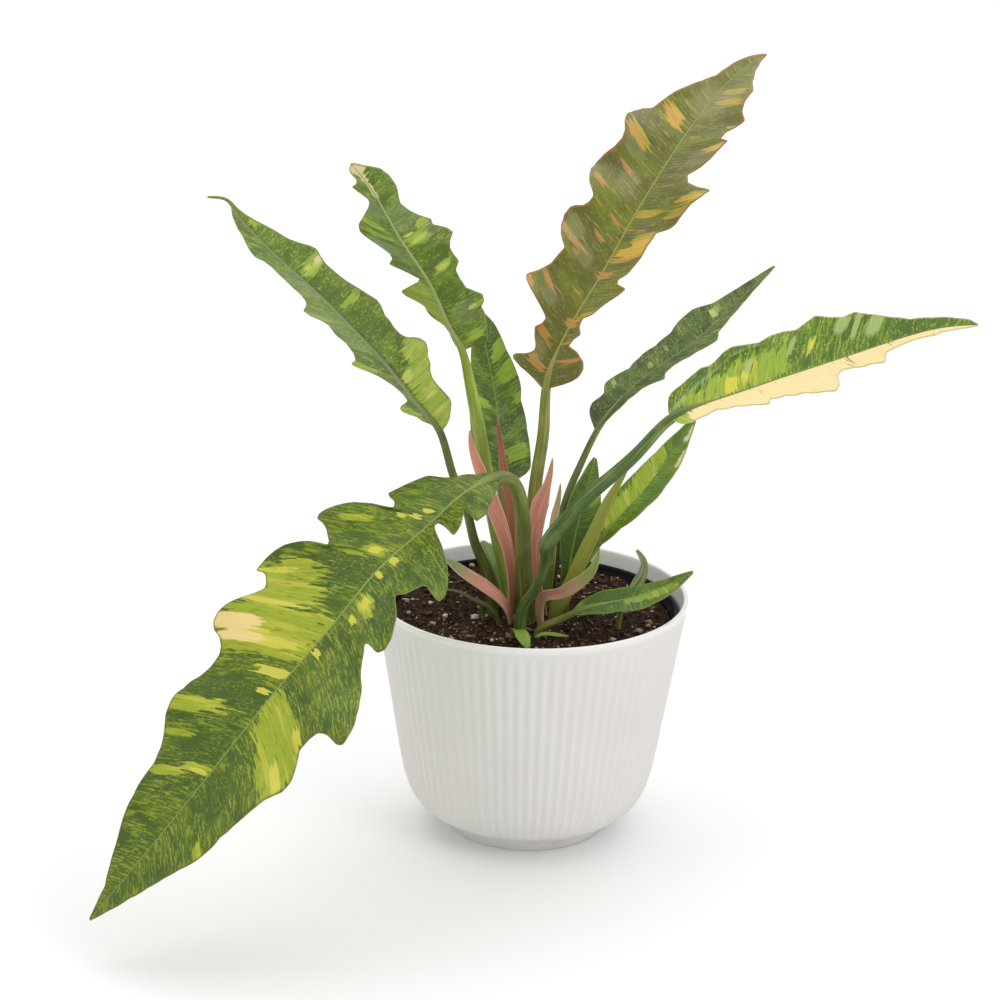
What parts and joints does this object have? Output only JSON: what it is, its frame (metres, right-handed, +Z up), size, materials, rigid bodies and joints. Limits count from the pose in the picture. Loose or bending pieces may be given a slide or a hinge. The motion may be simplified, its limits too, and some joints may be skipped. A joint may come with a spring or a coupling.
{
  "type": "potted plant",
  "caption": "Ring of fire philodendron with long saw-edged variegated leaves, growing in potting mix in a black grower's pot inside a white fluted cover pot.",
  "frame": {"origin": "centre of the flat face under the cover pot, on the surface it stands on", "axes": "+Z up along the pot's axis, +Y away from the camera of the picture, +X to its right"},
  "size_m": [0.4647, 0.3655, 0.4267],
  "materials": {
    "white_pot": "matte off-white, smooth rim",
    "black_plastic": "thin moulded plastic",
    "potting_mix": "coarse bark and peat with perlite",
    "stem_green": "living stem",
    "leaf_green": "glossy leaf with lime and yellow patches",
    "leaf_olive": "young leaf, olive with orange patches and rim",
    "leaf_cream": "half green, half cream leaf",
    "sheath_pink": "satin",
    "sheath_brown": "satin",
    "sheath_cream": "satin",
    "sheath_olive": "satin",
    "shoot_green": "satin"
  },
  "bodies": {
    "root": {"cover_pot": "white_pot", "grower_pot": "black_plastic", "soil": "potting_mix", "crown_stem": "stem_green", "leaf_front_left": "leaf_green", "leaf_left": "leaf_green", "leaf_upper_left": "leaf_green", "leaf_back_broad": "leaf_green", "leaf_tall": "leaf_olive", "leaf_back_right": "leaf_green", "leaf_right": "leaf_cream", "leaf_lower_right": "leaf_green", "leaf_small_behind": "leaf_green", "leaf_small_left": "leaf_green", "leaf_small_right": "leaf_green", "leaf_small_curl": "leaf_green", "sheath_pink_left": "sheath_pink", "sheath_pink_centre": "sheath_pink", "sheath_pink_low": "sheath_pink", "sheath_pink_curl": "sheath_pink", "sheath_brown_back": "sheath_brown", "sheath_cream": "sheath_cream", "sheath_olive": "sheath_olive", "shoot_front": "shoot_green", "shoot_on_soil": "shoot_green", "shoot_left_thin": "shoot_green", "shoot_left_short": "shoot_green"}
  },
  "joints": []
}
